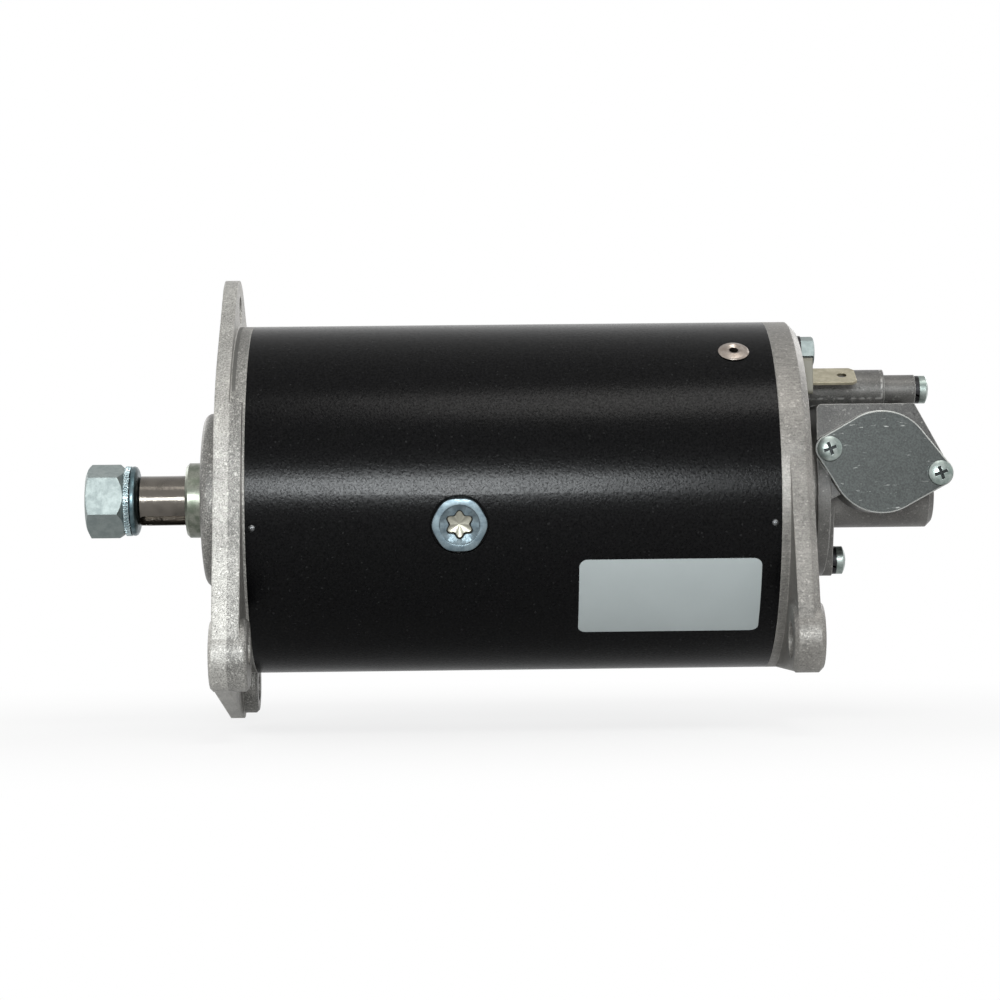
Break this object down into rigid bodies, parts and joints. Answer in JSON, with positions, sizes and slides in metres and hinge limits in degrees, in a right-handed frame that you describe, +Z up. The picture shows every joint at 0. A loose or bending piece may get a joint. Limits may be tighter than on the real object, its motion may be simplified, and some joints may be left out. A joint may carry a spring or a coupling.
{
  "type": "automotive generator",
  "caption": "Cylindrical black direct-current generator with cast end brackets, hinge lugs, a keyed drive shaft and a right-angle rev-counter drive.",
  "frame": {"origin": "on the armature's axis, in the plane of the pulley seat (the spacer's outer face)", "axes": "+X along the armature from the drive end to the commutator end, +Z up to the adjusting ear, -Y to the side with the hinge lugs and the cover of the rev-counter drive"},
  "size_m": [0.2505, 0.12, 0.1283],
  "materials": {
    "yoke_paint": "satin black enamel with fine orange peel",
    "drive_end_cast": "sand-cast, lightly sparkling",
    "commutator_end_cast": "cast, machined rim, light streaks",
    "housing_cast": "dark die cast with bright flash lines",
    "cover_zinc": "grey-green zinc plate, scratched",
    "bright_zinc": "bluish zinc plate",
    "yellow_zinc": "yellow-green zinc plate",
    "shaft_steel": "turned and ground",
    "screw_steel": "zinc plate, slightly dull",
    "black_steel": "blackened spring steel",
    "bearing_steel": "ground and polished",
    "core_iron": "laminated, turned",
    "pole_iron": "forged, dark",
    "copper": "drawn copper",
    "brass": "pressed",
    "bronze": "sintered, oiled",
    "tin": "yellowish tin plate",
    "rivet_tin": "tinned brass",
    "wound_copper": "varnished copper wire",
    "coil_tape": "varnished cotton tape",
    "insulation": "moulded and laminated insulation",
    "terminal_mould": "off-white moulding",
    "gear_plastic": "natural nylon",
    "carbon": "pressed carbon",
    "felt": "oiled wool felt",
    "gasket": "oiled paper",
    "spring_steel": "blued spring steel"
  },
  "bodies": {
    "stator": {"yoke": "yoke_paint", "pole_shoes": "pole_iron", "pole_screws": "bright_zinc", "field_coils": "coil_tape", "field_rivet": "rivet_tin", "locating_dowels": "bearing_steel", "drive_end_bracket": "drive_end_cast", "commutator_end_bracket": "commutator_end_cast", "bearing_outer_race": "bearing_steel", "bearing_retainer": "screw_steel", "retainer_screws": "screw_steel", "felt_ring": "felt", "felt_pressure_ring": "screw_steel", "commutator_end_bush": "bronze", "brush_holders": "brass", "holder_packings": "insulation", "holder_rivets": "screw_steel", "spring_posts": "screw_steel", "terminal_blocks": "terminal_mould", "output_terminal": "tin", "field_terminal": "tin", "through_bolts": "bright_zinc", "through_bolt_washers": "black_steel", "tacho_housing": "housing_cast", "tacho_cover": "cover_zinc", "cover_gasket": "gasket", "cover_screws": "screw_steel", "long_housing_screw": "screw_steel", "short_housing_screw": "screw_steel", "housing_screw_washers": "black_steel", "spindle_bush": "bronze", "cable_union": "screw_steel"},
    "armature": {"armature_shaft": "shaft_steel", "armature_core": "core_iron", "armature_windings": "wound_copper", "commutator_hub": "insulation", "commutator_bars": "copper", "thrust_washer": "insulation", "bearing_inner_race": "bearing_steel", "pulley_spacer": "yellow_zinc", "shaft_lock_washer": "bright_zinc", "shaft_nut": "bright_zinc", "tacho_worm": "shaft_steel"},
    "ball_cage": {"bearing_balls": "bearing_steel", "bearing_cage": "brass"},
    "tacho_drive": {"tacho_gear": "gear_plastic", "tacho_spindle": "shaft_steel"},
    "near_brush": {"near_brush": "carbon"},
    "far_brush": {"far_brush": "carbon"},
    "near_spring": {"near_brush_spring": "spring_steel"},
    "far_spring": {"far_brush_spring": "spring_steel"}
  },
  "joints": [
    {"name": "armature_spin", "type": "hinge", "parent": "stator", "child": "armature", "pos_m": [0, 0, 0], "axis": [1, 0, 0], "continuous": true},
    {"name": "ball_cage_roll", "type": "hinge", "parent": "stator", "child": "ball_cage", "pos_m": [0.0176, 0, 0], "axis": [1, 0, 0], "continuous": true},
    {"name": "tacho_spin", "type": "hinge", "parent": "stator", "child": "tacho_drive", "pos_m": [0.2008, 0, 0.009], "axis": [0, 1, 0], "continuous": true},
    {"name": "near_brush_slide", "type": "slide", "parent": "stator", "child": "near_brush", "axis": [0, -1, 0], "range_m": [0, 0.004], "stiffness_N_per_m": 400, "springref_m": -0.01},
    {"name": "far_brush_slide", "type": "slide", "parent": "stator", "child": "far_brush", "axis": [0, 1, 0], "range_m": [0, 0.004], "stiffness_N_per_m": 400, "springref_m": -0.01},
    {"name": "near_spring_turn", "type": "hinge", "parent": "stator", "child": "near_spring", "pos_m": [0.1552, -0.02902, 0.0125], "axis": [1, 0, 0], "range_deg": [-17.8, 0]},
    {"name": "far_spring_turn", "type": "hinge", "parent": "stator", "child": "far_spring", "pos_m": [0.1552, 0.02902, 0.0125], "axis": [1, 0, 0], "range_deg": [0, 17.8]}
  ],
  "couplings": [
    {"joint": "ball_cage_roll", "follows": "armature_spin", "ratio": 0.38},
    {"joint": "tacho_spin", "follows": "armature_spin", "ratio": 0.25},
    {"joint": "near_spring_turn", "follows": "near_brush_slide", "rad_per_m": -77.5},
    {"joint": "far_spring_turn", "follows": "far_brush_slide", "rad_per_m": 77.5}
  ]
}
